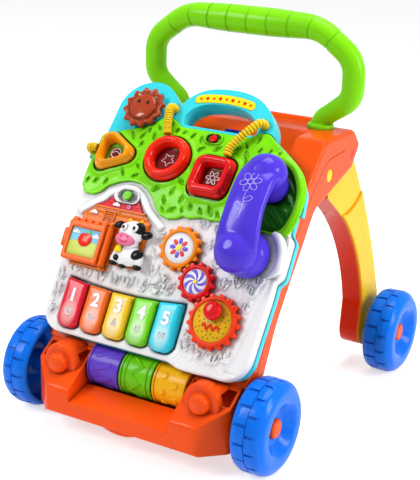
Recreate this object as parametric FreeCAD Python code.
import FreeCAD, Part
import math
import os

# Push-along baby walker with a lift-off activity panel.
# All sizes are millimetres.  X is to the right as seen from the front, Y points back
# towards the walking child, Z is up.  The model is built with y = 0 at the front axle
# and z = 0 on the floor, and is centred front to back when it is written out.

# ---------------------------------------------------------------- driving dimensions
wheel_radius = 56.0
wheel_width = 41.0
front_wheel_gap = 8.5       # from the base's side to the front tyre
rear_wheel_gap = 16.6       # from the leg's outer face to the rear tyre
wheel_base = 342.4
axle_radius = 3.0
running_gap = 0.05          # radial clearance of everything that turns or slides on a pin
seat_gap = 0.02             # radial clearance of a pin held fast in a hole
part_gap = 0.4              # face-to-face clearance between bodies that move apart
hub_radius = 12.0
hub_recess = 12.0           # how far the hub face lies behind the tyre's outer face
tyre_shoulder = 12.0
wheel_wall = 4.0
tread_wall = 5.5
cap_dome = 5.0

frame_half_width = 140.0
frame_wall = 2.8
rail_round = 5.0            # rounding of the frame's outer edges
rail_width = 39.0
rail_foot_y = 31.0          # the rail's back edge where it meets the base
rail_belly_y = 60.0
rail_belly = 0.237          # height of that corner, as a share of the rail's
seam_start_y = 12.0
screw_inset = 20.0          # the base's screws inside the frame's side
screw_y = 14.0
screw_radius = 2.0
screw_low = 60.0            # the height of their heads
seam_width = 1.1
seam_depth = 0.8
deck_height = 350.0         # top of the frame's crossbar
deck_depth = 51.0
shelf_drop = 31.57          # the latch's shelf below the deck
shelf_run = 65.17           # from the shelf's front edge to the deck's
base_top = 98.4             # where the frame stands on the base housing
rib_depth = 12.0

base_inset = 7.0            # the base's side inside the frame's
base_front_y = -63.5
base_back_y = 35.0
base_floor = 27.0
base_wall = 3.0
block_height = 62.0         # front end blocks of the base
ledge_height = 48.0         # lower ledge in front of the rollers
bay_gap = 0.7
nose_inset = 34.5           # from the base's side to the middle of a nose
nose_height = 84.0
nose_radius = 23.0
nose_front_y = -41.0
nose_length = 31.0
dome_radius = 12.0
dome_rise = 12.0

roller_radius = 28.0
roller_axis_y = -1.0
roller_axis_z = 77.0
roller_width = 44.6
roller_gap = 1.6
roller_rim = 2.5
roller_room = 3.4           # the flat foot of the panel's back shell clears them by this much
roller_plane_angle = 12.0   # tilt of that flat

pivot_back = 10.0           # the leg pivot ahead of the deck's back edge
pivot_drop = 31.0           # and below the deck
pivot_radius = 6.0
leg_gap = 1.2
leg_thickness = 27.0
leg_wall = 3.0
leg_pivot_round = 22.0
leg_pad = 2.6               # how much thicker the leg is where it leaves the frame
leg_pad_clear = 80.0
leg_shin = (0.4824, 0.441)  # the leg's two bends, as shares of the way back and up from the axle
leg_calf = (0.9414, 0.4639)
leg_foot_rise = 40.0
foot_radius = 28.0
axle_boss_radius = 10.0
lock_ahead = 62.0           # a leg lock ahead of the pivot
lock_drop = 14.0            # and below it
lock_radius = 8.0
lock_flange = 1.3
lock_travel = 1.6

handle_back = 23.0          # the handle ahead of the deck's back edge
handle_half_width = 141.0   # to the tube's centre line
handle_rise = 121.0         # centre line of the grip above the deck
handle_foot_radius = 12.0
grip_radius = 17.5
grip_half_length = 100.0
collar_radius = 16.5
spigot_radius = 5.0         # pegs under the handle that stand in the frame's sockets
spigot_wall = 2.3
socket_depth = 20.0
handle_wall = 3.0

lower_angle = 60.0          # tilt of the panel's lower face from the floor
upper_angle = 48.0          # tilt of its upper face
panel_foot_y = -19.3
panel_foot_z = 122.8
lower_length = 190.0        # from the panel's foot line up to the bend
panel_overhang = 2.5        # the panel's side outside the frame's
panel_depth = 22.0
panel_split = 14.0          # front shells in front of this depth, back shell behind it
panel_wall = 2.5
panel_rim = 1.4             # the back shell shows this much all round
panel_seat = 0.4            # from the panel's back to the frame

tree_rise = 3.5
pocket_floor = 0.8
ring_base = pocket_floor + 0.3
ring_height = 15.0
ring_lift = 20.0
ring_wall = 14.0
ring_inset = 0.6            # the rings' feet inside their pockets
tether_radius = 5.4
tether_rise = 12.0

key_count = 5
key_right_u = 46.0
key_inset = 23.5            # from the panel's side to the first key
key_gap = 0.8
key_foot_v = -2.0
key_drop = 137.0            # the keys' head below the bend
key_arc = 6.0               # the outer keys are this much longer than the middle one
key_top_w = 7.0
key_rod_back = 7.0          # their hinge rod below that head
key_rod_w = -6.0
key_rod_radius = 1.5

gear_module = 3.646
tooth_count_top = 14
tooth_count_middle = 12
tooth_count_bottom = 17
gear_top_u = 20.4
gear_top_drop = 70.2        # its middle below the bend
gear_first_angle = -45.8    # direction from the top gear to the middle one
gear_second_angle = -48.2   # direction from the middle gear to the bottom one
gear_pressure_angle = 27.0
gear_backlash = 0.5
gear_back_w = 1.0
gear_front_w = 9.0
gear_post_radius = 4.0
knob_reach = 11.5
knob_radius = 11.0

door_left_u = -133.0
door_hinge_u = -76.5
door_drop = 64.0            # its top edge below the bend
door_height = 49.0
door_back_w = 4.0
door_front_w = 16.0
door_pin_radius = 1.5
barn_rise = 2.0
mode_u = -71.0
mode_drop = 21.0
mode_travel = 6.0
mode_plate_half = 9.0
mode_plate_radius = 9.5
mode_plate_rise = 3.5

cow_u = -41.0
cow_drop = 82.0
cow_stem = 6.0
stem_gap = 0.15             # round the stems of the pushed buttons
cow_travel = 3.0
sun_travel = 2.5
sun_u = -97.5
sun_v = 96.0
sun_radius = 29.0
sun_stem = 8.0
lobe_margin = 12.0          # the teal lobe round the sun
power_u = 12.3
power_v = 70.5
power_travel = 4.0

handset_inset = 35.0        # from the panel's side to the handset's middle
handset_half_width = 23.0
mouth_drop = 59.0           # its mouth below the bend
mouth_radius = 30.0
ear_v = 24.0
ear_radius = 26.0
handset_rise = 49.0
cup_gap = 2.5               # between the handset's mouth and the collar round it
cup_rise = 5.0
cup_swell = 8.5             # how far the collar swells out of the panel's side
cradle_depth = 6.0
cradle_gap = 2.5
cradle_wall = 2.0
mouth_rise = 27.0
ear_rise = 25.0
handset_wall = 2.6
handset_split = 14.0

circle_u = -37.0
circle_v = 34.0
circle_radius = 31.0
square_low_v = -6.0
square_high_v = 48.0
square_left_u = 3.0
square_right_u = 58.0
window_thickness = 1.2
anchor_out = 7.0            # the triangle's tether outside the panel's side
anchor_v = 30.0
anchor_top = -9.0
circle_tether_foot = (-57, 103)
square_tether_foot = (70, 99)

board_margin = 3.5
board_head_v = 38.0
board_w = -12.0
sheet_thickness = 3.2
board_thickness = 1.6
battery_u0 = -28.0
battery_length = 50.5
battery_radius = 7.2
battery_drops = (106.0, 90.0)   # the two cells below the bend
battery_w = -11.6

# ------------------------------------------------------------------- derived places
frame_inner_x = frame_half_width - rail_width
handle_foot_x = frame_inner_x
base_half_width = frame_half_width - base_inset
screw_x = frame_half_width - screw_inset
panel_half_width = frame_half_width + panel_overhang
leg_outer_x = frame_half_width - frame_wall - leg_pad - leg_gap
front_wheel_outer_x = base_half_width + front_wheel_gap + wheel_width
rear_wheel_outer_x = leg_outer_x + rear_wheel_gap + wheel_width
nose_x = base_half_width - nose_inset
roller_pitch = roller_width + roller_gap
bay_half_width = 1.5 * roller_pitch + bay_gap
handle_top = deck_height + handle_rise
pivot_z = deck_height - pivot_drop
lock_z = pivot_z - lock_drop
spigot_x = frame_inner_x + frame_wall - spigot_wall - spigot_radius
leg_inner_x = leg_outer_x - leg_thickness
frame_line = -(panel_depth + panel_seat)
row_shift = -(base_front_y + wheel_base + wheel_radius) / 2
bend_angle = (lower_angle + upper_angle) / 2
mode_v = lower_length - mode_drop
cow_v = lower_length - cow_drop
mouth_v = lower_length - mouth_drop
door_high_v = lower_length - door_drop
door_low_v = door_high_v - door_height
key_top_v = lower_length - key_drop
key_rod_v = key_top_v - key_rod_back
handset_u = panel_half_width - handset_inset
cup_right = panel_half_width + cup_swell
anchor_u = -panel_half_width - anchor_out
key_first_u = key_inset - panel_half_width
board_left = key_first_u - board_margin
key_pitch = (key_right_u - key_first_u) / key_count
board_right = key_right_u + board_margin
battery_v = [lower_length - drop for drop in battery_drops]
window_low = pocket_floor
window_high = pocket_floor + window_thickness
gear_teeth = {"gear_top": tooth_count_top, "gear_middle": tooth_count_middle,
              "gear_bottom": tooth_count_bottom}


def vec(x, y, z):
    return FreeCAD.Vector(x, y, z)


def along(angle):
    return math.cos(math.radians(angle)), math.sin(math.radians(angle))


bend_y = panel_foot_y + lower_length * along(lower_angle)[0]
bend_z = panel_foot_z + lower_length * along(lower_angle)[1]


def lower_point(v, w):
    """Side-view (y, z) of a point at height v and depth w on the lower panel face."""
    c, s = along(lower_angle)
    return panel_foot_y + v * c - w * s, panel_foot_z + v * s + w * c


def upper_point(v, w):
    c, s = along(upper_angle)
    return bend_y + v * c - w * s, bend_z + v * s + w * c


def upper_v(z, w):
    """Where a line at depth w behind the upper face reaches a height."""
    c, s = along(upper_angle)
    return (z - bend_z - w * c) / s


shelf_v = upper_v(deck_height - shelf_drop, frame_line)
deck_front_y = upper_point(shelf_v, frame_line)[0] + shelf_run
deck_back_y = deck_front_y + deck_depth
handle_y = deck_back_y - handle_back
pivot_y = deck_back_y - pivot_back
lock_y = pivot_y - lock_ahead


def on_train(start, first, second, angle):
    """The middle of the gear that meshes with one at start, in a direction."""
    reach = gear_module * (gear_teeth[first] + gear_teeth[second]) / 2
    step_u, step_v = along(angle)
    return start[0] + reach * step_u, start[1] + reach * step_v


gear_places = {"gear_top": (gear_top_u, lower_length - gear_top_drop)}
gear_places["gear_middle"] = on_train(gear_places["gear_top"], "gear_top", "gear_middle", gear_first_angle)
gear_places["gear_bottom"] = on_train(gear_places["gear_middle"], "gear_middle", "gear_bottom",
                                      gear_second_angle)


# ---------------------------------------------------------------------- plain solids
def block(x0, x1, y0, y1, z0, z1):
    return Part.makeBox(x1 - x0, y1 - y0, z1 - z0, vec(x0, y0, z0))


def rod(start, end, radius):
    axis = end.sub(start)
    return Part.makeCylinder(radius, axis.Length, start, axis)


def upright(x, y, z0, z1, radius):
    return rod(vec(x, y, z0), vec(x, y, z1), radius)


def rod_x(x0, x1, y, z, radius):
    return rod(vec(x0, y, z), vec(x1, y, z), radius)


def rounded_edges(points):
    """Straight runs and corner arcs through (a, b, radius) corners, in the XY plane."""
    count = len(points)
    stops = []
    for i in range(count):
        a, b, radius = points[i]
        corner = vec(a, b, 0)
        before = vec(*points[i - 1][:2], 0).sub(corner).normalize()
        after = vec(*points[(i + 1) % count][:2], 0).sub(corner).normalize()
        half = before.getAngle(after) / 2
        if radius <= 0 or abs(half - math.pi / 2) < 1e-4:
            stops.append((corner, None, corner))
            continue
        reach = radius / math.tan(half)
        middle = before.add(after).normalize()
        rise = radius / math.sin(half) - radius
        stops.append((corner + before * reach, corner + middle * rise, corner + after * reach))
    edges = []
    for i in range(count):
        first, mid, last = stops[i]
        if mid is not None:
            edges.append(Part.Arc(first, mid, last).toShape())
        following = stops[(i + 1) % count][0]
        if last.distanceToPoint(following) > 1e-6:
            edges.append(Part.LineSegment(last, following).toShape())
    return edges


def outline_face(points):
    corners = [p if len(p) == 3 else (p[0], p[1], 0) for p in points]
    return Part.Face(Part.Wire(rounded_edges(corners)))


def thick(face, low, high):
    """A face in the XY plane as a solid between two heights."""
    face.translate(vec(0, 0, low))
    return face.extrude(vec(0, 0, high - low))


def plate(points, low, high):
    """A flat plate from its outline in the XY plane, between two heights."""
    return thick(outline_face(points), low, high)


def crowned_plate(points, low, high):
    """A plate with one smooth curve through its points and a straight foot between its ends."""
    curve = Part.BSplineCurve()
    curve.interpolate([vec(u, v, 0) for u, v in points])
    foot = Part.LineSegment(vec(*points[-1], 0), vec(*points[0], 0))
    return thick(Part.Face(Part.Wire([curve.toShape(), foot.toShape()])), low, high)


def down_from(v, points):
    """Corners whose second number was measured from a line at height v."""
    return [(p[0], v + p[1], *p[2:]) for p in points]


def stand_up(shape):
    """Turns a shape drawn in the XY plane into a side view: X to Y, Y to Z, Z to X."""
    shape.rotate(vec(0, 0, 0), vec(1, 1, 1), 120)
    return shape


def side_plate(points, x0, x1):
    """A plate from its side view (y, z, radius), between two X planes."""
    return stand_up(plate(points, x0, x1))


def disc(u, v, radius, low, high):
    return rod(vec(u, v, low), vec(u, v, high), radius)


def slot_plate(u0, u1, v, radius, low, high):
    """A plate with two round ends."""
    return plate([(u0 - radius, v - radius, radius * 0.999), (u1 + radius, v - radius, radius * 0.999),
                  (u1 + radius, v + radius, radius * 0.999), (u0 - radius, v + radius, radius * 0.999)],
                 low, high)


def fuse(first, *others):
    return first.fuse(list(others)).removeSplitter() if others else first


def cut(first, *others):
    return first.cut(list(others)) if others else first


def mirror_x(shape):
    return shape.mirror(vec(0, 0, 0), vec(1, 0, 0))


def ring_of_revolution(profile, axis_y, axis_z):
    """Turns an (x, radius) profile about the line parallel to X through (y, z)."""
    face = outline_face(profile)
    solid = face.revolve(vec(0, 0, 0), vec(1, 0, 0), 360)
    solid.translate(vec(0, axis_y, axis_z))
    return solid


def turned(profile):
    """Turns an (r, height, radius) profile about the local Z axis."""
    face = outline_face(profile)
    face.rotate(vec(0, 0, 0), vec(1, 0, 0), 90)
    return face.revolve(vec(0, 0, 0), vec(0, 0, 1), 360)


def tilt(shape, angle, y, z):
    placed = shape.copy()
    placed.rotate(vec(0, 0, 0), vec(1, 0, 0), angle)
    placed.translate(vec(0, y, z))
    return placed


def lower(shape):
    return tilt(shape, lower_angle, panel_foot_y, panel_foot_z)


def upper(shape):
    return tilt(shape, upper_angle, bend_y, bend_z)


def bend(shape):
    return tilt(shape, bend_angle, bend_y, bend_z)


far = 500.0
below_bend = bend(block(-far, far, -far, 0, -far, far))
above_bend = bend(block(-far, far, 0, far, -far, far))


def save(name, shape):
    placed = shape.copy()
    placed.translate(vec(0, row_shift, 0))
    placed.exportStep("parts/" + name + ".step")


# ---------------------------------------------------------------------------- wheels
def wheel(outer_x, y):
    """One hollow wheel on the +X side: tyre, dished outer face and hub in one moulding."""
    inner_x = outer_x - wheel_width
    hub_face = outer_x - hub_recess
    lip = hub_radius + tyre_shoulder + 4
    tread_inner = wheel_radius - tread_wall
    bore = axle_radius + running_gap
    profile = [
        (inner_x, bore, 0),
        (hub_face, bore, 0),
        (hub_face, lip - 6, 5),
        (outer_x, lip + 6, 6),
        (outer_x, wheel_radius, tyre_shoulder),
        (inner_x, wheel_radius, tyre_shoulder),
        (inner_x, tread_inner, 0),
        (outer_x - tyre_shoulder, tread_inner, 2),
        (outer_x - wheel_wall - 2, lip + 9, 6),
        (hub_face - wheel_wall, lip - 9, 4),
        (hub_face - wheel_wall, hub_radius, 0),
        (inner_x, hub_radius, 0),
    ]
    return ring_of_revolution(profile, y, wheel_radius)


def hub_cap(outer_x, y):
    """A domed cap pressed on the end of an axle."""
    base_x = outer_x - hub_recess + part_gap
    profile = [(base_x, 0, 0), (base_x + cap_dome, 0, 0), (base_x + cap_dome, hub_radius, 4),
               (base_x, hub_radius, 0)]
    cap = ring_of_revolution(profile, y, wheel_radius)
    return cut(cap, rod_x(base_x - 1, base_x + 2.5, y, wheel_radius, axle_radius))


def axle(inner_x, outer_x, y):
    return rod_x(inner_x, outer_x - hub_recess + part_gap + 2.5, y, wheel_radius, axle_radius)


def make_wheels():
    right_front = wheel(front_wheel_outer_x, 0)
    right_rear = wheel(rear_wheel_outer_x, wheel_base)
    save("front_wheel_right", right_front)
    save("front_wheel_left", mirror_x(right_front))
    save("rear_wheel_right", right_rear)
    save("rear_wheel_left", mirror_x(right_rear))
    stub = axle(base_half_width - 28, front_wheel_outer_x, 0)
    save("front_axles", Part.makeCompound([stub, mirror_x(stub)]))
    cap = hub_cap(front_wheel_outer_x, 0)
    save("front_hub_caps", Part.makeCompound([cap, mirror_x(cap)]))
    rear_stub = axle(leg_inner_x + 1, rear_wheel_outer_x, wheel_base)
    save("rear_axle_right", rear_stub)
    save("rear_axle_left", mirror_x(rear_stub))
    rear_cap = hub_cap(rear_wheel_outer_x, wheel_base)
    save("rear_hub_cap_right", rear_cap)
    save("rear_hub_cap_left", mirror_x(rear_cap))


# ----------------------------------------------------------------------- main frame
def crossing(first, second, third, fourth):
    """Where the line through the first two points meets the line through the others."""
    (x1, y1), (x2, y2), (x3, y3), (x4, y4) = first, second, third, fourth
    d = (x1 - x2) * (y3 - y4) - (y1 - y2) * (x3 - x4)
    a = x1 * y2 - y1 * x2
    b = x3 * y4 - y3 * x4
    return (a * (x3 - x4) - (x1 - x2) * b) / d, (a * (y3 - y4) - (y1 - y2) * b) / d


def front_line(depth, floor, roof):
    """Side-view corners of the line at a depth behind the panel, from floor to roof."""
    low = (lower_point(0, depth), lower_point(lower_length, depth))
    high = (upper_point(0, depth), upper_point(100, depth))
    foot = crossing(*low, (0, floor), (1, floor))
    knee = crossing(*low, *high)
    head = crossing(*high, (0, roof), (1, roof))
    return foot, knee, head


def rail_outline():
    foot, knee, head = front_line(frame_line, base_top, deck_height)
    return [
        (foot[0], foot[1], 0),
        (knee[0], knee[1], 80),
        (head[0], head[1], 14),
        (pivot_y + 5, deck_height, 20),
        (pivot_y + 25, pivot_z + 8, 9),
        (pivot_y + 3, pivot_z - 19, 12),
        (pivot_y - 45, pivot_z - 33, 60),
        (pivot_y - 96, pivot_z - 49, 18),
        (rail_belly_y, base_top + rail_belly * (deck_height - base_top), 240),
        (rail_foot_y, base_top, 0),
    ]


def channel_outline():
    """The open channel inside a rail, where the folding leg lives."""
    foot, knee, head = front_line(frame_line - frame_wall, base_top + frame_wall,
                                  deck_height - frame_wall)
    return [
        (foot[0], foot[1], 0),
        (knee[0], knee[1], 80),
        (head[0], head[1], 10),
        (deck_back_y + 60, deck_height - frame_wall, 0),
        (deck_back_y + 60, base_top + frame_wall, 0),
    ]


def seam_outline():
    """The engraved line that follows the rail's back edge, as a narrow band."""
    shares = [(0.0, 0.042), (0.136, 0.2925), (0.3026, 0.523), (0.421, 0.666), (0.5526, 0.797),
              (0.6886, 0.9046), (0.8991, 0.9126)]
    line = [(seam_start_y + a * (pivot_y - seam_start_y), base_top + b * (deck_height - base_top))
            for a, b in shares]
    left, right = [], []
    for index, (y, z) in enumerate(line):
        y0, z0 = line[max(index - 1, 0)]
        y1, z1 = line[min(index + 1, len(line) - 1)]
        size = math.hypot(y1 - y0, z1 - z0)
        side_y, side_z = -(z1 - z0) / size * seam_width / 2, (y1 - y0) / size * seam_width / 2
        left.append((y + side_y, z + side_z, 40))
        right.append((y - side_y, z - side_z, 40))
    ends = [left[0][:2], left[-1][:2], right[-1][:2], right[0][:2]]
    return [ends[0], *left[1:-1], ends[1], ends[2], *right[-2:0:-1], ends[3]]


def frame_rail():
    rail = side_plate(rail_outline(), frame_inner_x, frame_half_width)
    rail = soften(rail, frame_half_width, rail_round)
    channel_x = frame_half_width - frame_wall
    channel = side_plate(channel_outline(), frame_inner_x + frame_wall, channel_x)
    channel = soften(channel, channel_x, rail_round - frame_wall)
    seam = side_plate(seam_outline(), frame_half_width - seam_depth, frame_half_width + 1)
    lock_hole = rod_x(frame_half_width - 5, frame_half_width + 1, lock_y, lock_z,
                      lock_radius + 0.3)
    pin_hole = rod_x(frame_inner_x - 1, frame_half_width + 1, pivot_y, pivot_z,
                     pivot_radius + seat_gap)
    screw_hole = upright(screw_x, screw_y, base_top - 1, base_top + 5, screw_radius + seat_gap)
    return cut(rail, channel, seam, lock_hole, pin_hole, screw_hole)


def back_plate_outline():
    """Side view of the wall behind the panel, the shelf above it and the top deck."""
    wall = frame_wall
    foot, knee, _ = front_line(frame_line, base_top, deck_height)
    foot_back, knee_back, _ = front_line(frame_line - wall, base_top, deck_height)
    shelf = upper_point(shelf_v, frame_line)
    shelf_back = upper_point(shelf_v, frame_line - wall)
    return [
        (foot[0], foot[1], 0),
        (knee[0], knee[1], 80),
        (shelf[0], shelf[1], 6),
        (deck_front_y, deck_height, 6),
        (deck_back_y - 14, deck_height, 4),
        (deck_back_y - 8, deck_height + 6, 3),
        (deck_back_y, deck_height + 6, 3),
        (deck_back_y, deck_height - 52, 0),
        (deck_back_y - wall, deck_height - 52, 0),
        (deck_back_y - wall, deck_height - wall, 0),
        (deck_front_y + 3, deck_height - wall, 5),
        (shelf_back[0] + 2, shelf_back[1] - 2, 5),
        (knee_back[0], knee_back[1], 80),
        (foot_back[0], foot_back[1], 0),
    ]


def frame_ribs():
    """Stiffening ribs on the back of the frame's wall, each a strip across the frame."""
    ribs = []
    for v in (45.0, 105.0, 165.0):
        y0, z0 = lower_point(v, frame_line - frame_wall + 0.5)
        y1, z1 = lower_point(v, frame_line - frame_wall - rib_depth)
        y2, z2 = lower_point(v + frame_wall, frame_line - frame_wall - rib_depth)
        y3, z3 = lower_point(v + frame_wall, frame_line - frame_wall + 0.5)
        strip = [(y0, z0), (y1, z1), (y2, z2), (y3, z3)]
        ribs.append(side_plate(strip, -frame_inner_x - 1, frame_inner_x + 1))
    return ribs


def make_frame():
    rail = frame_rail()
    frame = fuse(side_plate(back_plate_outline(), -frame_inner_x - 1, frame_inner_x + 1),
                 *frame_ribs())
    frame = fuse(frame, rail, mirror_x(rail))
    low = deck_height - socket_depth
    sockets = []
    bores = [rod_x(-bay_half_width, bay_half_width, roller_axis_y, roller_axis_z, roller_radius + 3),
             latch_track()]
    for side in (-1, 1):
        x = side * spigot_x
        sockets.append(upright(x, handle_y, low - frame_wall, deck_height - 1, spigot_radius + spigot_wall))
        bores.append(upright(x, handle_y, low, deck_height + 1, spigot_radius + seat_gap))
        bores.append(upright(side * handle_foot_x, handle_y, deck_height, deck_height + 10,
                             collar_radius + part_gap))
    save("main_frame", cut(fuse(frame, *sockets), *bores))


def latch_shapes():
    """The panel latch on the shelf: a tongue that slides back to free the panel."""
    shelf = upper_point(shelf_v, frame_line)
    slope = math.degrees(math.atan2(deck_height - shelf[1], deck_front_y - shelf[0]))
    body = fuse(block(-11, 11, -9, 9, 0.4, 7), block(-7, 7, -6, 6, -frame_wall - 3, 1),
                block(-10, 10, -8, 8, -frame_wall - 4.6, -frame_wall - 2.6))
    track = block(-7.3, 7.3, -6.3, 6.3 + 5, -frame_wall - 8, 3)
    middle_y = (shelf[0] + deck_front_y) / 2
    middle_z = (shelf[1] + deck_height) / 2
    placed = []
    for shape in (body, track):
        shape.translate(vec(10, 0, 0))
        placed.append(tilt(shape, slope, middle_y, middle_z))
    return placed, slope


def latch_track():
    return latch_shapes()[0][1]


def make_latch():
    save("panel_latch", latch_shapes()[0][0])


# --------------------------------------------------------------------- base housing
def base_outline():
    foot = front_line(frame_line, base_top, deck_height)[0]
    return [
        (base_front_y, base_floor, 6),
        (base_front_y, block_height, 9),
        (foot[0] - 1, base_top, 6),
        (base_back_y, base_top, 4),
        (base_back_y, base_floor, 6),
    ]


def base_plan():
    """Plan view of the base: its front corners are cut back towards the wheels."""
    return [
        (-base_half_width, base_back_y + 1, 0),
        (-base_half_width, base_front_y + 29, 8),
        (-base_half_width + 30, base_front_y, 14),
        (base_half_width - 30, base_front_y, 14),
        (base_half_width, base_front_y + 29, 8),
        (base_half_width, base_back_y + 1, 0),
    ]


def nose():
    """A lamp-like nose on one front block: a stepped barrel with a small dome."""
    profile = [
        (0, 0, 0), (nose_radius, 0, 0), (nose_radius, nose_length, 3), (dome_radius + 1, nose_length, 2),
        (dome_radius, nose_length + dome_rise - 2, 7), (0, nose_length + dome_rise, 0),
    ]
    solid = turned(profile)
    solid.rotate(vec(0, 0, 0), vec(1, 0, 0), 90)
    solid.translate(vec(nose_x, nose_front_y + nose_length, nose_height))
    return solid


def roller_bay():
    """The hollow that holds the rollers, open to the front above the ledge."""
    reach = roller_radius + 3
    trough = rod_x(-bay_half_width, bay_half_width, roller_axis_y, roller_axis_z, reach)
    mouth = [
        (base_front_y - 10, ledge_height, 0),
        (base_front_y + 1, ledge_height, 3),
        (roller_axis_y - reach + 6, ledge_height + 9, 0),
        (roller_axis_y, roller_axis_z - 6, 0),
        (roller_axis_y + reach, roller_axis_z, 0),
        (roller_axis_y + reach, base_top + 40, 0),
        (base_front_y - 10, base_top + 40, 0),
    ]
    return fuse(trough, side_plate(mouth, -bay_half_width, bay_half_width))


def base_hollows():
    """Hollows under the base, which leave its walls."""
    wall = base_wall
    hollows = []
    for side in (-1, 1):
        x0 = bay_half_width + wall
        x1 = base_half_width - wall
        room = block(x0, x1, base_front_y + 32, base_back_y - wall, base_floor - 1,
                     base_top - wall)
        front = block(x0, x1 - 28, base_front_y + wall + 2, base_front_y + 33, base_floor - 1,
                      block_height - wall - 2)
        bar = block(x0, x1, -axle_boss_radius, axle_boss_radius, wheel_radius - 9,
                    wheel_radius + 9)
        post = upright(screw_x, screw_y, screw_low, base_top, 3 * screw_radius)
        hollow = cut(fuse(room, front), bar, post)
        hollows.append(hollow if side > 0 else mirror_x(hollow))
    middle = block(-bay_half_width, bay_half_width, base_front_y + wall + 2, base_back_y - wall,
                   base_floor - 1, roller_axis_z - roller_radius - 3 - wall)
    return hollows + [middle]


def make_base():
    body = side_plate(base_outline(), -base_half_width, base_half_width)
    body = body.common(plate(base_plan(), 0, base_top + 10))
    right_nose = nose()
    body = fuse(body, right_nose, mirror_x(right_nose))
    pad = rod(vec(0, base_front_y + 4, base_floor - 4 + 60),
              vec(0, base_front_y + 26, base_floor - 4 + 60), 60)
    pad = pad.common(block(-40, 40, base_front_y, 0, 0, base_floor + 4))
    body = fuse(body, pad)
    panel_room = lower_face_solid(panel_rim + 1, -panel_depth - 0.3, far)
    body = cut(body, roller_bay(), lower(panel_room), *base_hollows())
    boss = rod_x(base_half_width - 4, front_wheel_outer_x - wheel_width - part_gap, 0,
                 wheel_radius, hub_radius)
    body = fuse(body, boss, mirror_x(boss))
    holes = [rod_x(-far, -base_half_width + 30, 0, wheel_radius, axle_radius + seat_gap),
             rod_x(base_half_width - 30, far, 0, wheel_radius, axle_radius + seat_gap),
             rod_x(-bay_half_width - 9, bay_half_width + 9, roller_axis_y, roller_axis_z,
                   axle_radius + seat_gap)]
    for side in (-1, 1):
        holes.append(upright(side * screw_x, screw_y, screw_low - 10, base_top + 1, screw_radius + seat_gap))
    save("base_housing", cut(body, *holes))


def screw(length, radius, head_radius):
    """A pan-head screw standing on its head, tip up."""
    return fuse(disc(0, 0, radius, 0, length), disc(0, 0, head_radius, -2.2, 0))


def make_frame_screws():
    screws = []
    for side in (-1, 1):
        one = screw(base_top + 4 - screw_low, screw_radius, 2 * screw_radius)
        one.translate(vec(side * screw_x, screw_y, screw_low))
        screws.append(one)
    save("frame_screws", Part.makeCompound(screws))


# -------------------------------------------------------------------------- rollers
def make_rollers():
    for index, name in enumerate(("roller_purple", "roller_green", "roller_yellow")):
        middle = (index - 1) * roller_pitch
        x0 = middle - roller_width / 2
        x1 = middle + roller_width / 2
        bore = axle_radius + running_gap
        profile = [
            (x0, bore, 0), (x0, roller_radius, 1), (x0 + roller_rim, roller_radius, 1),
            (x0 + roller_rim + 1, roller_radius - 1.5, 0),
            (x1 - roller_rim - 1, roller_radius - 1.5, 0),
            (x1 - roller_rim, roller_radius, 1), (x1, roller_radius, 1), (x1, bore, 0),
        ]
        solid = ring_of_revolution(profile, roller_axis_y, roller_axis_z)
        hollow = [(x0 + 3, 8, 0), (x1 + 1, 8, 0), (x1 + 1, roller_radius - 5, 0),
                  (x0 + 3, roller_radius - 5, 0)]
        save(name, cut(solid, ring_of_revolution(hollow, roller_axis_y, roller_axis_z)))
    reach = bay_half_width + 8
    save("roller_rod", rod_x(-reach, reach, roller_axis_y, roller_axis_z, axle_radius))


# ------------------------------------------------------------------------ rear legs
def leg_face():
    """Side view of a rear leg: a wide cheek at the pivot, curving down to the foot."""
    def point(y, z):
        return vec(y, z, 0)

    def on_leg(back, up):
        return vec(pivot_y + back * (wheel_base - pivot_y), wheel_radius + up * (pivot_z - wheel_radius), 0)

    top = point(pivot_y, pivot_z + leg_pivot_round)
    back = point(pivot_y + leg_pivot_round, pivot_z)
    top_mid = point(pivot_y + leg_pivot_round * 0.7071, pivot_z + leg_pivot_round * 0.7071)
    cheek = point(pivot_y - 51, pivot_z - 30)
    chin = point(pivot_y - 50, pivot_z - 46)
    neck = point(pivot_y - 16, pivot_z - 71)
    foot_top = wheel_radius + leg_foot_rise
    shin = on_leg(*leg_shin)
    ankle = point(wheel_base - foot_radius + 4, foot_top)
    heel = point(wheel_base + foot_radius, foot_top)
    calf = on_leg(*leg_calf)
    foot_front = point(wheel_base - foot_radius, wheel_radius)
    foot_back = point(wheel_base + foot_radius, wheel_radius)
    sole = point(wheel_base, wheel_radius - foot_radius)
    hip = point(pivot_y + 21, pivot_z - 12)
    edges = [
        Part.Arc(top, top_mid, back).toShape(),
        Part.LineSegment(back, hip).toShape(),
        Part.Arc(hip, calf, heel).toShape(),
        Part.LineSegment(heel, foot_back).toShape(),
        Part.Arc(foot_back, sole, foot_front).toShape(),
        Part.LineSegment(foot_front, ankle).toShape(),
        Part.Arc(ankle, shin, neck).toShape(),
        Part.LineSegment(neck, chin).toShape(),
        Part.LineSegment(chin, cheek).toShape(),
        Part.LineSegment(cheek, top).toShape(),
    ]
    return Part.Face(Part.Wire(edges))


def face_to_side(face, x0, x1):
    solid = face.extrude(vec(0, 0, x1 - x0))
    solid.translate(vec(0, 0, x0))
    return stand_up(solid)


def soften(solid, x, radius):
    """Rounds every edge that lies in one X plane."""
    edges = [e for e in solid.Edges
             if abs(e.BoundBox.XMin - x) < 0.01 and abs(e.BoundBox.XMax - x) < 0.01]
    return solid.makeFillet(radius, edges)


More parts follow.
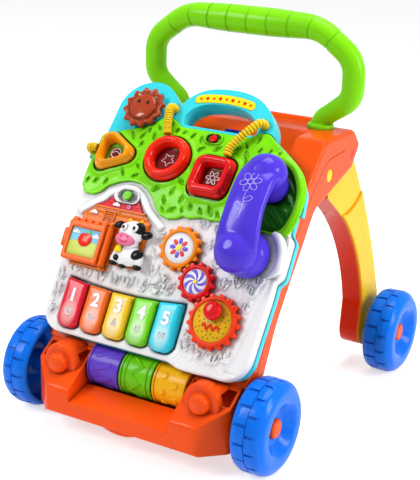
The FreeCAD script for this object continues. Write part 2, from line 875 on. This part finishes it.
def make_legs():
    face = leg_face()
    leg = face_to_side(face, leg_inner_x, leg_outer_x)
    inside = face.makeOffset2D(-leg_wall)
    hollow = face_to_side(inside, leg_inner_x - 1, leg_outer_x - leg_wall)
    leg = cut(leg, hollow)
    pad = cut(face_to_side(face, leg_outer_x - 0.5, leg_outer_x + leg_pad),
              rod_x(0, far, pivot_y, pivot_z, leg_pad_clear))
    pad = soften(pad, leg_outer_x + leg_pad, leg_pad - 0.3)
    leg = fuse(leg, pad)
    bosses = [
        rod_x(leg_inner_x, leg_outer_x, pivot_y, pivot_z, pivot_radius + 4),
        rod_x(leg_inner_x, leg_outer_x, wheel_base, wheel_radius, axle_boss_radius),
        rod_x(leg_outer_x - 1, rear_wheel_outer_x - wheel_width - part_gap, wheel_base,
              wheel_radius, axle_boss_radius),
    ]
    ribs = []
    for share in (0.2, 0.41, 0.62):
        z = wheel_radius + share * (pivot_z - wheel_radius)
        strip = face_to_side(face, leg_inner_x + 3, leg_outer_x - 1)
        ribs.append(strip.common(block(0, far, 0, far, z, z + 2.5)))
    leg = fuse(leg, *bosses, *ribs)
    leg = cut(leg, rod_x(0, far, pivot_y, pivot_z, pivot_radius + running_gap),
              rod_x(0, far, wheel_base, wheel_radius, axle_radius + seat_gap))
    save("rear_leg_right", leg)
    save("rear_leg_left", mirror_x(leg))
    pin = rod_x(frame_inner_x, frame_half_width, pivot_y, pivot_z, pivot_radius)
    save("leg_pivot_pins", Part.makeCompound([pin, mirror_x(pin)]))
    wall_face = frame_half_width - frame_wall
    lock = fuse(rod_x(wall_face - lock_flange - 0.1, frame_half_width - 0.4, lock_y, lock_z,
                      lock_radius),
                rod_x(wall_face - lock_flange - 0.1, wall_face - 0.1, lock_y, lock_z,
                      lock_radius + 1.6))
    save("leg_lock_right", lock)
    save("leg_lock_left", mirror_x(lock))


# --------------------------------------------------------------------- push handle
def handle_path():
    """Centre line of the tube: up from the sockets, out, up and across the top."""
    half = [(handle_foot_x, deck_height, 0), (handle_foot_x, deck_height + 10, 16),
            (handle_half_width, deck_height + 39, 26), (handle_half_width, handle_top - 35, 36),
            (grip_half_length - 6, handle_top, 60)]
    corners = [(-x, z, r) for x, z, r in half] + [(x, z, r) for x, z, r in reversed(half)]
    wire = Part.Wire(rounded_edges(corners)[:-1])
    wire.rotate(vec(0, 0, 0), vec(1, 0, 0), 90)
    wire.translate(vec(0, handle_y, 0))
    return wire


def handle_sweep(radius):
    start = vec(-handle_foot_x, handle_y, deck_height)
    ring = Part.Wire(Part.Circle(start, vec(0, 0, 1), radius).toShape())
    return handle_path().makePipeShell([ring], True, True)


def make_handle():
    tube = handle_sweep(handle_foot_radius)
    half = grip_half_length
    grip = [(-half, 0, 0), (half, 0, 0), (half, handle_foot_radius, 0), (half * 0.62, grip_radius - 1, 60),
            (-half * 0.62, grip_radius - 1, 60), (-half, handle_foot_radius, 0)]
    sleeve = ring_of_revolution(grip, handle_y, handle_top)
    feet = []
    for side in (-1, 1):
        feet.append(upright(side * handle_foot_x, handle_y, deck_height, deck_height + 5, collar_radius))
        feet.append(upright(side * spigot_x, handle_y, deck_height - socket_depth + 0.5, deck_height + 5,
                            spigot_radius))
    bore = handle_sweep(handle_foot_radius - handle_wall)
    whole = cut(fuse(tube, sleeve), bore)
    save("push_handle", fuse(whole, *feet))


# ---------------------------------------------------------------- activity panel
def lower_outline(grow):
    """The lower face, with the swelling at its right edge round the handset's mouth."""
    half = panel_half_width + grow
    foot = -9.5 - grow
    swell = cup_right + grow
    return [
        (-half, foot, 28 + grow), (40, foot, 30), (58, foot - 5.5, 30),
        (half - 2, foot - 5.5, 32 + grow), (half + 2, mouth_v - 41, 60), (half + 1.5, mouth_v - 25 - grow, 8),
        (swell, mouth_v - 18 - grow, 12), (swell, mouth_v + 26 + grow, 10),
        (half + 0.5, mouth_v + 32 + grow, 8),
        (half, lower_length + 40, 0), (-half, lower_length + 40, 0),
    ]


def cup_outline(grow):
    """The collar round the handset's mouth, just inside that swelling."""
    left, right = handset_u - 30 - grow, cup_right - 0.6 + grow
    return [(left, mouth_v - 27 - grow, 20), (right, mouth_v - 19 - grow, 16),
            (right, mouth_v + 27 + grow, 12), (left, mouth_v + 27 + grow, 20)]


def lower_face_solid(grow, low, high):
    return plate(lower_outline(grow), low, high)


def tree_outline(grow):
    """The tree's crown on the upper face."""
    g = grow
    half = panel_half_width + grow
    return [
        (-half, -40, 0), (half + 5.5, -40, 0), (half + 5.5, 6, 40), (half + 0.5, 34, 30),
        (half - 26.5, 65 + g, 40), (80, 91 + g, 14), (66, 88 + g, 10), (57, 80.5 + g, 6),
        (-38, 80.5 + g, 12), (-52, 90 + g, 10), (-68, 88 + g, 10), (-84, 74 + g, 14),
        (-118, 62 + g, 20), (-half, 54 + g, 8),
    ]


def lobe_outline():
    """The teal lobe: round over the sun, straight down to the bend."""
    half = sun_radius + lobe_margin
    top = sun_v + half + 1
    return [(sun_u - half, 30, 0), (sun_u + half, 30, 0), (sun_u + half, top, half - 0.1),
            (sun_u - half, top, half - 0.1)]


def arch_outer():
    return [(-56, 60), (-54.5, 92), (-47, 118), (-29, 134), (0, 140.6), (26, 140), (50, 133), (70, 118),
            (82, 99), (86, 80), (87, 60)]


def arch_inner():
    return [(-33, 84), (-38.5, 87), (-40, 94), (-36, 105), (-24, 114), (0, 119), (24, 118.4), (45, 111.6),
            (58, 100.5), (62.4, 91), (60.6, 85.6), (55, 84)]


def bent(low_part, high_part):
    """Joins a lower and an upper piece along the bend."""
    return fuse(low_part.common(below_bend), high_part.common(above_bend))


def key_left(index):
    return key_first_u + index * key_pitch


def key_head(u):
    """The keys' top edge is a shallow arc."""
    middle = (key_first_u + key_right_u) / 2
    half = key_right_u - middle
    return key_top_v + key_arc * ((u - middle) / half) ** 2


def keyway():
    """The opening that the five keys lie in."""
    left = key_first_u - 1
    right = key_right_u + 1
    return plate([(left, key_foot_v - 2, 10), (right, key_foot_v - 2, 10),
                  (right, key_head(right) + 1.5, 3), ((left + right) / 2, key_top_v + 1.5, 0),
                  (left, key_head(left) + 1.5, 3)], -panel_wall - 3, 2)


def mode_plate(radius, low, high):
    """The white lozenge that the mode switch slides on."""
    middle = mode_u - 2
    return slot_plate(middle - mode_plate_half, middle + mode_plate_half, mode_v, radius, low, high)


def make_panel_front():
    outer = lower_face_solid(0, -panel_split, 0)
    inner = lower_face_solid(-panel_wall, -panel_split - 1, -panel_wall)
    ridge_out = plate(ridge_outline(0), -1, 3)
    ridge_in = plate(ridge_outline(9), -2, 4)
    cup = cut(plate(cup_outline(0), -1, cup_rise),
              disc(handset_u, mouth_v, mouth_radius + cup_gap, -2, cup_rise + 1),
              block(-far, handset_u - 20, -far, far, -2, cup_rise + 1))
    shell = fuse(cut(outer, inner), cut(ridge_out, ridge_in), cup)
    shell = fuse(shell, mode_plate(mode_plate_radius, -1, mode_plate_rise))
    posts = []
    for u, v in gear_places.values():
        posts.append(fuse(disc(u, v, gear_post_radius, -1, gear_front_w - 2.5),
                          disc(u, v, gear_post_radius + 4, -1, gear_back_w - 0.4)))
    for u in (key_first_u - 6, key_right_u + 1.5):
        posts.append(block(u, u + 4.5, key_rod_v - 4, key_rod_v + 4, key_rod_w - 3, -1))
    for u, v in panel_screw_places():
        posts.append(disc(u, v, 4, -panel_split, -1))
    for u in (board_left, board_right):
        for v in (6, board_head_v - 4):
            posts.append(disc(u, v, 2.4, board_w, -1))
    shell = fuse(shell, *posts)
    openings = [
        keyway(),
        disc(cow_u, cow_v, cow_stem + stem_gap, -5, 4),
        slot_plate(mode_u - mode_travel, mode_u + mode_travel, mode_v, 3.3, -5, 6),
        rod(vec(-far, key_rod_v, key_rod_w), vec(far, key_rod_v, key_rod_w),
            key_rod_radius + seat_gap).common(block(key_first_u - 6, key_right_u + 6, 0, far, -20, 20)),
    ]
    for ring_radius, count in ((6.0, 6), (12.0, 12)):
        for index in range(count):
            a, b = along(360.0 * index / count)
            openings.append(disc(handset_u - 6 + ring_radius * a, mouth_v - 20 + ring_radius * b,
                                 1.2, -5, 2))
    for u, v in panel_screw_places():
        openings.append(disc(u, v, 1.52, -panel_split - 1, -panel_wall))
    shell = cut(shell, *openings)
    save("panel_front", lower(shell).common(below_bend))


def panel_screw_places():
    half = panel_half_width
    return [(12.5 - half, 20), (half - 17.5, 16), (10.5 - half, lower_length - 122),
            (half - 10.5, lower_length - 106)]


def ridge_outline(inset):
    """The barn's white ridge, as a roof-shaped band, drawn down from the bend."""
    k = inset
    foot = -55 - k * 0.6 - (70 if k else 0)
    return down_from(lower_length, [
        (-139 + k * 1.2, -47 - k * 0.6, 2), (-121 + k * 0.9, -32 - k * 0.9, 3), (-111 + k, -26 - k * 0.8, 3),
        (-103 + k * 0.8, -17 - k, 4), (-89 + k * 0.5, -9 - k, 10), (-76, -5 - k, 20),
        (-62 - k * 0.5, -6.5 - k, 10), (-50 - k * 0.7, -13 - k, 6), (-41 - k, -22 - k * 0.8, 4),
        (-34 - k, -30 - k * 0.8, 3), (-22 - k, -39 - k * 0.8, 3), (-9 - k * 1.3, -48 - k * 0.6, 2),
        (-14 - k, foot, 2), (-134 + k, foot, 2),
    ])


def barn_outline():
    """The barn's wall and roof, drawn down from the bend; its wall is shorter beside the door."""
    return down_from(lower_length, [
        (-128, -117, 2), (-72, -117, 1), (-72, -106.6, 1), (-30, -106.6, 2), (-30, -47, 3), (-34, -41, 2),
        (-52, -22, 3), (-66, -16, 6), (-86, -16, 6), (-101, -22, 3), (-119, -41, 2), (-128, -47, 3),
    ])


def make_barn():
    face = plate(barn_outline(), 0, barn_rise)
    face = face.common(plate(ridge_outline(9.6), -1, 4))
    face = cut(face, mode_plate(mode_plate_radius + 0.5, -1, 6),
               disc(cow_u, cow_v, cow_stem + stem_gap, -1, 4))
    lug = [(door_hinge_u - 2.5, 0), (door_hinge_u + 2.5, 0),
           (door_hinge_u + 2.5, 13), (door_hinge_u - 2.5, 13)]
    hinge_w = (door_back_w + door_front_w) / 2
    lugs = []
    for v in (door_low_v - 4.4, door_high_v + 0.4):
        strip = plate([(u, w, 1) for u, w in lug], 0, 4)
        strip.rotate(vec(0, 0, 0), vec(1, 0, 0), 90)
        strip.translate(vec(0, v + 4, 0))
        lugs.append(strip)
    face = fuse(face, *lugs)
    pin_line = rod(vec(door_hinge_u, door_low_v - 5, hinge_w),
                   vec(door_hinge_u, door_high_v + 5, hinge_w), door_pin_radius + seat_gap)
    save("barn_face", lower(cut(face, pin_line)))
    pin = rod(vec(door_hinge_u, door_low_v - 4.4, hinge_w),
              vec(door_hinge_u, door_high_v + 4.4, hinge_w), door_pin_radius)
    save("barn_door_pin", lower(pin))


def make_barn_door():
    hinge_w = (door_back_w + door_front_w) / 2
    leaf = plate([(door_left_u, door_low_v, 2), (door_hinge_u - 4.4, door_low_v, 2),
                  (door_hinge_u - 4.4, door_high_v, 2), (door_left_u, door_high_v, 2)],
                 door_back_w, door_front_w)
    tab_low, tab_high = door_low_v + 15, door_high_v - 12
    tab = plate([(door_left_u - 6, tab_low, 2), (door_left_u + 1, tab_low, 0), (door_left_u + 1, tab_high, 0),
                 (door_left_u - 6, tab_high, 2)], door_back_w + 3, door_front_w - 3)
    barrel = rod(vec(door_hinge_u, door_low_v, hinge_w), vec(door_hinge_u, door_high_v, hinge_w), 4.2)
    web = block(door_hinge_u - 6, door_hinge_u, door_low_v, door_high_v, hinge_w - 3, hinge_w + 3)
    picture = block(door_left_u + 6, door_hinge_u - 9, door_low_v + 7, door_high_v - 9, door_front_w - 1,
                    door_front_w + 1)
    hollow = block(door_left_u + 3, door_hinge_u - 8, door_low_v + 3, door_high_v - 3,
                   door_back_w - 1, door_front_w - 4)
    bore = rod(vec(door_hinge_u, 0, hinge_w), vec(door_hinge_u, far, hinge_w),
               door_pin_radius + running_gap)
    save("barn_door", lower(cut(fuse(leaf, tab, barrel, web), picture, hollow, bore)))


def make_cow():
    """A sitting cow on a round stem, drawn about that stem."""
    low = barn_rise + cow_travel + part_gap
    body = plate([(-25, -24, 6), (21, -24, 8), (23, -2, 6), (11, 4, 6), (-15, 2, 6)], low, 14)
    head = plate([(-23, -2, 8), (3, -4, 8), (13, 8, 8), (25, 16, 6), (23, 24, 5), (7, 30, 8), (-17, 30, 8),
                  (-27, 22, 6)], low, 17)
    cow = fuse(body, head, disc(0, 0, cow_stem, -7, 6), disc(0, 0, cow_stem + 2, -7, -5))
    cow.translate(vec(cow_u, cow_v, 0))
    save("cow_button", lower(cow))


def make_mode_switch():
    knob = disc(mode_u, mode_v, 6, 3.9, 7.5)
    stem = disc(mode_u, mode_v, 3, -5, 4)
    foot = disc(mode_u, mode_v, 5, -5, -3)
    save("mode_switch", lower(fuse(knob, stem, foot)))


# -------------------------------------------------------------------------- keys
def make_keys():
    for index in range(key_count):
        left = key_left(index) + key_gap / 2
        right = key_left(index) + key_pitch - key_gap / 2
        middle = (left + right) / 2
        top = plate([(left, key_foot_v, 12), (right, key_foot_v, 12), (right, key_head(right) - 1, 1),
                     (left, key_head(left) - 1, 1)], -2, key_top_w)
        hollow = block(left + 2, right - 2, key_foot_v + 12, key_rod_v - 5, -3, key_top_w - 2.5)
        lug = block(middle - 6, middle + 6, key_rod_v - 3, key_rod_v + 3, key_rod_w - 2.6, -1)
        nub = disc(middle, 8, 3, -4.6, -1)
        bore = rod(vec(-far, key_rod_v, key_rod_w), vec(far, key_rod_v, key_rod_w),
                   key_rod_radius + running_gap)
        save("key_%d" % (index + 1), lower(cut(fuse(cut(top, hollow), lug, nub), bore)))
    left = key_first_u - 5
    right = key_right_u + 5
    save("key_hinge_rod", lower(rod(vec(left, key_rod_v, key_rod_w),
                                    vec(right, key_rod_v, key_rod_w), key_rod_radius)))


# -------------------------------------------------------------------------- gears
def involute(base, radius):
    """Polar angle of the involute of a base circle at a radius."""
    if radius <= base:
        return 0.0
    roll = math.sqrt((radius / base) ** 2 - 1)
    return roll - math.atan(roll)


def gear_face(teeth):
    """A spur gear outline: involute flanks, round tips and straight-cut roots."""
    pitch = gear_module * teeth / 2
    base = pitch * math.cos(math.radians(gear_pressure_angle))
    tip = pitch + gear_module * 0.85
    root = pitch - gear_module * 1.05
    half = math.pi / (2 * teeth) - gear_backlash / (2 * pitch)
    start = max(root + 0.4, base)

    def flank(radius, side, centre):
        angle = centre + side * (half + involute(base, pitch) - involute(base, radius))
        return vec(radius * math.cos(angle), radius * math.sin(angle), 0)

    edges = []
    for tooth in range(teeth):
        centre = 2 * math.pi * tooth / teeth
        low_a, mid_a, top_a = [flank(r, -1, centre) for r in (start, (start + tip) / 2, tip)]
        low_b, mid_b, top_b = [flank(r, 1, centre) for r in (start, (start + tip) / 2, tip)]
        crown = vec(tip * math.cos(centre), tip * math.sin(centre), 0)
        gap = centre + math.pi / teeth
        floor = vec(root * math.cos(gap), root * math.sin(gap), 0)
        after = flank(start, -1, centre + 2 * math.pi / teeth)
        edges.append(Part.Arc(low_a, mid_a, top_a).toShape())
        edges.append(Part.Arc(top_a, crown, top_b).toShape())
        edges.append(Part.Arc(top_b, mid_b, low_b).toShape())
        edges.append(Part.Arc(low_b, floor, after).toShape())
    return Part.Face(Part.Wire(edges))


def gear_phase():
    """Turn of each gear, in degrees, that puts the train in mesh at rest."""
    teeth_a, teeth_b = gear_teeth["gear_top"], gear_teeth["gear_middle"]
    teeth_c = gear_teeth["gear_bottom"]
    phase_a = gear_first_angle
    phase_b = gear_first_angle + 180 + 180.0 / teeth_b
    from_tooth = (gear_second_angle - phase_b) * teeth_b / 360.0
    offset = from_tooth - math.floor(from_tooth)
    phase_c = gear_second_angle + 180 + (offset + 0.5) * 360.0 / teeth_c
    return {"gear_top": phase_a, "gear_middle": phase_b, "gear_bottom": phase_c}


def make_gears():
    phases = gear_phase()
    for name, teeth in gear_teeth.items():
        u, v = gear_places[name]
        pitch = gear_module * teeth / 2
        face = gear_face(teeth)
        solid = face.extrude(vec(0, 0, gear_front_w - gear_back_w))
        solid.translate(vec(0, 0, gear_back_w))
        well = disc(0, 0, pitch - 7.5, gear_front_w - 1.2, gear_front_w + 1)
        bore = disc(0, 0, gear_post_radius + running_gap, gear_back_w - 1, gear_front_w - 2.2)
        solid = cut(solid, well, bore)
        if name == "gear_bottom":
            solid = cut(solid, disc(0, 0, 1, gear_back_w - 1, gear_back_w - 0.5))
        solid.rotate(vec(0, 0, 0), vec(0, 0, 1), phases[name])
        solid.translate(vec(u, v, 0))
        save(name, lower(solid))
    u, v = gear_places["gear_bottom"]
    floor = gear_front_w - 1.2
    profile = [(0, floor, 0), (knob_radius * 0.55, floor, 0), (knob_radius * 0.55, floor + 3, 1),
               (knob_radius, floor + 5, 2), (knob_radius, floor + 11, 5), (0, floor + 14, 0)]
    knob = turned(profile)
    knob.translate(vec(u, v + knob_reach, 0))
    save("crank_knob", lower(knob))


# ------------------------------------------------------------------ shape rings
def triangle_points(shrink):
    s = shrink
    return [(-132 + s * 1.0, 62 - s * 1.7, 10 - s * 0.4), (-74 - s * 1.9, 28, 11 - s * 0.4),
            (-130 + s * 1.0, 0 + s * 1.6, 10 - s * 0.4)]


def square_points(shrink):
    low_u, high_u = square_left_u + shrink, square_right_u - shrink
    low_v, high_v = square_low_v + shrink, square_high_v - shrink
    corner = 13 - shrink * 0.6
    return [(low_u, low_v, corner), (high_u, low_v, corner), (high_u, high_v, corner),
            (low_u, high_v, corner)]


def circle_tool(shrink, low, high):
    return disc(circle_u, circle_v, circle_radius - shrink, low, high)


def shape_tools():
    """One function per shape that gives its plate, drawn in by a distance."""
    return {
        "shape_triangle": lambda s, low, high: plate(triangle_points(s), low, high),
        "shape_circle": circle_tool,
        "shape_square": lambda s, low, high: plate(square_points(s), low, high),
    }


def ring_solid(tool, wall):
    """A tapering ring: a wide foot and a narrower crown round one through hole."""
    middle = ring_base + ring_height * 0.55
    top = ring_base + ring_height
    foot = tool(ring_inset, ring_base, middle)
    crown = tool(3.2, middle, top)
    hole = tool(wall, ring_base - 1, top + 1)
    return cut(fuse(foot, crown), hole)


def make_shapes():
    windows = []
    for name, tool in shape_tools().items():
        wall = 10.0 if name == "shape_triangle" else ring_wall
        save(name, upper(ring_solid(tool, wall)))
        windows.append(upper(tool(wall + 0.8, window_low, window_high)))
    save("shape_windows", Part.makeCompound(windows))


def tether_paths():
    """Corners (u, v, w) of the ribbed tethers, from the panel end to the ring end."""
    circle_end = circle_radius - ring_inset + part_gap
    reach_u = circle_tether_foot[0] - circle_u
    reach_v = circle_tether_foot[1] - circle_v
    share = circle_end / math.hypot(reach_u, reach_v)
    square_end = square_high_v - ring_inset + part_gap
    return {
        "tether_circle": [(*circle_tether_foot, 0), (*circle_tether_foot, tether_rise),
                          (circle_u + reach_u * share, circle_v + reach_v * share, tether_rise)],
        "tether_square": [(*square_tether_foot, 0), (*square_tether_foot, tether_rise),
                          (42, square_end + 14, tether_rise), (42, square_end, tether_rise)],
        "tether_triangle": [(anchor_u, anchor_v, anchor_top), (anchor_u, anchor_v, tether_rise - 1.5),
                            (-131.6, anchor_v, tether_rise - 1.5)],
    }


def tether(points):
    """A round tether: straight runs joined by tangent arcs, each as large as its runs allow."""
    corners = [vec(*p) for p in points]
    edges = []
    last = corners[0]
    for before, corner, after in zip(corners, corners[1:], corners[2:]):
        back = before.sub(corner)
        onward = after.sub(corner)
        shorter = min(back.Length, onward.Length)
        back.normalize()
        onward.normalize()
        half = back.getAngle(onward) / 2
        run = 0.45 * shorter
        rise = run / math.cos(half) - run * math.tan(half)
        middle = back.add(onward).normalize()
        edges.append(Part.LineSegment(last, corner + back * run).toShape())
        edges.append(Part.Arc(corner + back * run, corner + middle * rise,
                              corner + onward * run).toShape())
        last = corner + onward * run
    edges.append(Part.LineSegment(last, corners[-1]).toShape())
    ring = Part.Wire(Part.Circle(corners[0], corners[1].sub(corners[0]), tether_radius).toShape())
    return Part.Wire(edges).makePipeShell([ring], True, True)


# ---------------------------------------------------------------- tree and back
def skirt_outline():
    """The tree's lower edge over the white front, drawn down from the bend."""
    half = panel_half_width
    return down_from(lower_length, [
        (-half, 30, 0), (-half, -18, 8), (-134, -27.5, 6), (-121, -27, 8), (-112, -22, 4), (-104, -13, 6),
        (-90, -6, 12), (-76, -2, 20), (-61, -3, 10), (-47, -10, 8), (-37, -19, 6), (-31, -28, 6),
        (-22, -36, 8), (-10, -39, 8), (3, -36, 4), (9, -32, 3), (17, -33.5, 3), (27, -31, 3), (34, -29, 3),
        (45, -30.5, 4), (60, -28.5, 4), (half + 4, -28, 0), (half + 5, 30, 0),
    ])


def cradle_slot(grow, low, high):
    """The long hollow in the tree that the handset's ear end rests in."""
    bottom = ear_v - 60
    half = ear_radius + cradle_gap + grow
    top = ear_v + half
    return plate([(handset_u - half, bottom, 0), (handset_u + half, bottom, 0),
                  (handset_u + half, top, ear_radius), (handset_u - half, top, ear_radius)], low, high)


def make_tree():
    skirt = plate(skirt_outline(), 0, tree_rise)
    crown = plate(tree_outline(0), -panel_split, tree_rise)
    room = plate(tree_outline(-panel_wall), -panel_split - 1, -panel_wall)
    cradle = cradle_slot(0, -cradle_depth, tree_rise + 1)
    tools = shape_tools()
    pockets = [tools[name](-1.5, pocket_floor, tree_rise + 1) for name in tools]
    tether_hole = [disc(*circle_tether_foot, tether_radius + seat_gap, 0, tree_rise + 1),
                   disc(*square_tether_foot, tether_radius + seat_gap, 0, tree_rise + 1)]
    switch_well = slot_plate(power_u - power_travel, power_u + power_travel, power_v, 6.3,
                             tree_rise - 2, tree_rise + 1)
    switch_slot = slot_plate(power_u - power_travel, power_u + power_travel, power_v, 2.3, -5, 3)
    floor = cradle_slot(cradle_wall, -cradle_depth - panel_wall, 0)
    crown = fuse(cut(crown, room), floor.common(plate(tree_outline(0), -20, 10)))
    whole = bent(lower(skirt), upper(crown))
    hollows = [cradle, switch_well, switch_slot] + pockets + tether_hole
    save("tree_panel", cut(whole, *[upper(hollow) for hollow in hollows]))


def roller_side(gap):
    """All that lies on the rollers' side of a plane a little above them."""
    side = block(-far, far, -far, far, -far, roller_radius + gap)
    side.rotate(vec(0, 0, 0), vec(1, 0, 0), roller_plane_angle)
    side.translate(vec(0, roller_axis_y, roller_axis_z))
    return side


def anchor_outline():
    """The lug on the panel's left side that holds the triangle's tether."""
    inner = -panel_half_width - part_gap
    low, high = anchor_v - 8, anchor_v + 8
    return [(anchor_u - 6.5, low, 3), (inner, low, 0), (inner, high, 0), (anchor_u - 6.5, high, 3)]


def make_back():
    rim = panel_rim
    low_plate = lower_face_solid(rim, -panel_depth, -panel_split)
    low_room = lower_face_solid(rim - panel_wall - 0.4, -panel_depth + panel_wall, -panel_split + 1)
    crown = plate(tree_outline(rim), -panel_depth, -panel_split)
    lobe = cut(plate(lobe_outline(), -panel_depth, 0), plate(tree_outline(0.3), -panel_split, 10))
    arch = cut(crowned_plate(arch_outer(), -panel_depth, 2), plate(tree_outline(0.3), -panel_split, 10))
    opening = crowned_plate(arch_inner(), -panel_depth - 1, 10)
    room = plate(tree_outline(rim - panel_wall - 0.4), -panel_depth + panel_wall, -panel_split + 1)
    half = sun_radius - panel_wall
    top = sun_v + half
    lobe_room = plate([(sun_u - half, 62, 20), (sun_u + half, 62, 20), (sun_u + half, top, half - 0.1),
                       (sun_u - half, top, half - 0.1)], -panel_depth + panel_wall, -panel_wall)
    lobe_room = cut(lobe_room, plate(tree_outline(panel_wall), -panel_split, 10))
    high = fuse(crown, lobe, arch)
    high = cut(high, opening, room, lobe_room,
               disc(sun_u, sun_v, sun_stem + 0.2, -panel_wall - 3, 1),
               disc(*square_tether_foot, tether_radius + seat_gap, 0, 5),
               disc(*circle_tether_foot, tether_radius + seat_gap, 0, 5))
    low_shell = cut(lower(low_plate), roller_side(roller_room))
    low_shell = cut(low_shell, cut(lower(low_room), roller_side(roller_room + panel_wall)))
    shell = bent(low_shell, upper(high))
    collar = upper(disc(sun_u, sun_v, sun_radius - 5, -1, tree_rise))
    shell = fuse(shell, cut(collar, upper(plate(tree_outline(0.3), -panel_split, 10))),
                 upper(plate(anchor_outline(), -panel_depth, anchor_top)))
    door = lower(plate(battery_door_outline(0.3), -panel_depth - 1, -panel_depth + panel_wall + 1))
    holes = [door, upper(disc(sun_u, sun_v, sun_stem + 0.2, -10, 6))]
    for u, v in panel_screw_places():
        holes.append(lower(disc(u, v, 2.0, -panel_depth - 1, -panel_split)))
    save("panel_back", cut(shell, *holes))


def make_sun():
    """A sun-shaped push button: a disc with twelve soft rays."""
    rays = 12
    points = []
    for index in range(rays):
        for turn, radius in ((0.0, sun_radius), (0.5, sun_radius * 0.84)):
            a, b = along(360.0 * (index + turn) / rays)
            points.append((sun_u + radius * a, sun_v + radius * b, 2.5))
    low = tree_rise + sun_travel + part_gap
    face = plate(points, low, low + 4)
    dome = disc(sun_u, sun_v, sun_radius * 0.7, low + 3, low + 6)
    stem = disc(sun_u, sun_v, sun_stem, -7, low + 1)
    foot = disc(sun_u, sun_v, sun_stem + 2, -7, -5)
    save("sun_button", upper(fuse(face, dome, stem, foot)))


def make_power_switch():
    knob = disc(power_u, power_v, 5, tree_rise - 1.7, tree_rise + 2.5)
    stem = disc(power_u, power_v, 2, -5, tree_rise)
    foot = disc(power_u, power_v, 4, -5, -3)
    save("power_switch", upper(fuse(knob, stem, foot)))


# ------------------------------------------------------------------ handset
def handset_shape(inset):
    """A play telephone that bridges the bend: two round ends and an arched bar."""
    mouth = lower(disc(handset_u, mouth_v, mouth_radius - inset, part_gap + inset, mouth_rise - inset))
    ear = upper(disc(handset_u, ear_v, ear_radius - inset, part_gap - cradle_depth + inset,
                     ear_rise - inset))
    side = [(-90, 4, 10), (-84, 26, 24), (-50, 46, 50), (-16, handset_rise, 90), (20, 44, 50),
            (48, 25, 20), (52, 4, 10), (34, 0, 6), (22, 22, 20), (-16, 31, 60), (-46, 24, 20),
            (-56, 0, 6)]
    face = outline_face(side)
    if inset:
        face = face.makeOffset2D(-inset)
    half = handset_half_width - inset
    bar = bend(face_to_side(face, handset_u - half, handset_u + half))
    floor = lower(block(0, 200, -far, far, -far, part_gap + inset)).common(below_bend)
    return cut(fuse(mouth, ear, bar), floor)


def make_handset():
    shell = cut(handset_shape(0), handset_shape(handset_wall))
    cover_side = bend(block(0, 200, -far, far, handset_split, far))
    save("handset_cover", shell.common(cover_side))
    save("handset_base", cut(shell, cover_side))


# ----------------------------------------------------------------- electronics
def battery_door_outline(grow):
    left, right = battery_u0 - 8 - grow, battery_u0 + battery_length + 8 + grow
    low, high = battery_v[0] - 12 - grow, battery_v[1] + 12 + grow
    return [(left, low, 4), (right, low, 4), (right, high, 4), (left, high, 4)]


def make_electronics():
    save("battery_door", lower(plate(battery_door_outline(0), -panel_depth, -panel_depth + panel_wall)))
    cells = [lower(rod(vec(battery_u0, v, battery_w), vec(battery_u0 + battery_length, v, battery_w),
                       battery_radius)) for v in battery_v]
    save("batteries", Part.makeCompound(cells))
    contacts = []
    for u in (battery_u0 - 1, battery_u0 + battery_length):
        for v in battery_v:
            contacts.append(lower(block(u, u + 1, v - 4, v + 4, -18, -5)))
    save("battery_contacts", Part.makeCompound(contacts))
    head = board_head_v
    board = plate([(board_left - 3, 2, 2), (board_right + 3, 2, 2), (board_right + 3, head, 2),
                   (board_left - 3, head, 2)], board_w - board_thickness, board_w)
    save("circuit_board", lower(board))
    left, right, head = key_first_u + 5, key_right_u - 4, board_head_v - 4
    sheet = plate([(left, 4, 2), (right, 4, 2), (right, head, 2), (left, head, 2)], board_w,
                  board_w + sheet_thickness)
    save("contact_sheet", lower(sheet))
    cone = turned([(0, -16, 0), (9, -16, 1), (9, -11, 1), (17, -6, 0), (19, -6, 0), (19, -panel_wall, 0),
                   (17, -panel_wall, 0), (8, -8, 1), (0, -9, 0)])
    cone.translate(vec(handset_u - 6, mouth_v - 20, 0))
    save("speaker", lower(cone))
    screws = []
    for u, v in panel_screw_places():
        one = screw(12, 1.5, 3.2)
        one.translate(vec(u, v, -panel_split - 2.2 + 0.2))
        screws.append(lower(one))
    save("panel_screws", Part.makeCompound(screws))


def make_tethers():
    for name, points in tether_paths().items():
        save(name, upper(tether(points)))


def main():
    os.makedirs("parts", exist_ok=True)
    make_wheels()
    make_frame()
    make_latch()
    make_base()
    make_frame_screws()
    make_rollers()
    make_legs()
    make_handle()
    make_panel_front()
    make_barn()
    make_barn_door()
    make_cow()
    make_mode_switch()
    make_keys()
    make_gears()
    make_shapes()
    make_tethers()
    make_tree()
    make_back()
    make_sun()
    make_power_switch()
    make_handset()
    make_electronics()


main()
